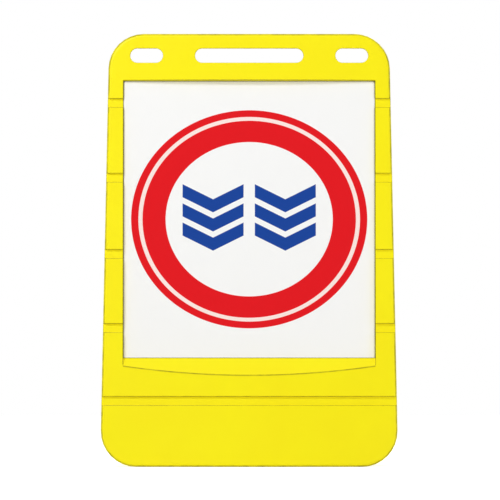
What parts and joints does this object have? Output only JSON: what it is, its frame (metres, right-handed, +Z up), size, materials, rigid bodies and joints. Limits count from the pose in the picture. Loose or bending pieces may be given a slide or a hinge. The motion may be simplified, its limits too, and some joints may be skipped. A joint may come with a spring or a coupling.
{
  "type": "barrier sign",
  "caption": "Folding A-frame barrier sign: two yellow hollow ballast boards with hand slots, hinged at the top, one carrying a round-ring warning panel.",
  "frame": {"origin": "on the floor, at the centre of the open sign's footprint", "axes": "+Z up, the board that carries the panel faces -Y, +X to the right of someone facing the panel"},
  "size_m": [0.5872, 0.4428, 0.858],
  "materials": {
    "yellow_polyethylene": "satin blow-moulded skin with a fine orange peel",
    "white_panel": "smooth white face film",
    "foam_tape": "closed-cell foam",
    "zinc_steel": "bright zinc plate",
    "cap_plastic": "moulded polyethylene",
    "seal_rubber": "moulded rubber",
    "black_webbing": "woven polypropylene webbing",
    "rivet_aluminium": "plain aluminium"
  },
  "bodies": {
    "front_half": {"front_shell": "yellow_polyethylene", "sign_plate": "white_panel", "plate_tapes": "foam_tape", "hinge_bolt_left": "zinc_steel", "hinge_bolt_right": "zinc_steel", "hinge_nut_left": "zinc_steel", "hinge_nut_right": "zinc_steel", "hinge_sleeve_left": "zinc_steel", "hinge_sleeve_right": "zinc_steel", "hinge_washers": "zinc_steel", "strap_left": "black_webbing", "strap_right": "black_webbing", "front_strap_clamps": "zinc_steel", "front_strap_rivets": "rivet_aluminium"},
    "rear_half": {"rear_shell": "yellow_polyethylene", "rear_strap_clamps": "zinc_steel", "rear_strap_rivets": "rivet_aluminium"},
    "front_seal": {"front_cap_seal": "seal_rubber"},
    "front_cap": {"front_filler_cap": "cap_plastic"},
    "rear_seal": {"rear_cap_seal": "seal_rubber"},
    "rear_cap": {"rear_filler_cap": "cap_plastic"}
  },
  "joints": [
    {"name": "fold", "type": "hinge", "parent": "front_half", "child": "rear_half", "pos_m": [0, 0, 0.781], "axis": [-1, 0, 0], "range_deg": [0, 20], "deforming": ["strap_left", "strap_right"]},
    {"name": "front_cap_lift", "type": "slide", "parent": "front_half", "child": "front_seal", "axis": [0, 0.9848, -0.1736], "range_m": [0, 0.0121]},
    {"name": "front_cap_turn", "type": "hinge", "parent": "front_seal", "child": "front_cap", "pos_m": [0, -0.11999, 0.112], "axis": [0, 0.9848, -0.1736], "range_deg": [0, 1080]},
    {"name": "rear_cap_lift", "type": "slide", "parent": "rear_half", "child": "rear_seal", "axis": [0, -0.9848, -0.1736], "range_m": [0, 0.0121]},
    {"name": "rear_cap_turn", "type": "hinge", "parent": "rear_seal", "child": "rear_cap", "pos_m": [0, 0.11999, 0.112], "axis": [0, -0.9848, -0.1736], "range_deg": [0, 1080]}
  ],
  "couplings": [
    {"joint": "front_cap_lift", "follows": "front_cap_turn", "m_per_rad": 0.00063662},
    {"joint": "rear_cap_lift", "follows": "rear_cap_turn", "m_per_rad": 0.00063662}
  ]
}
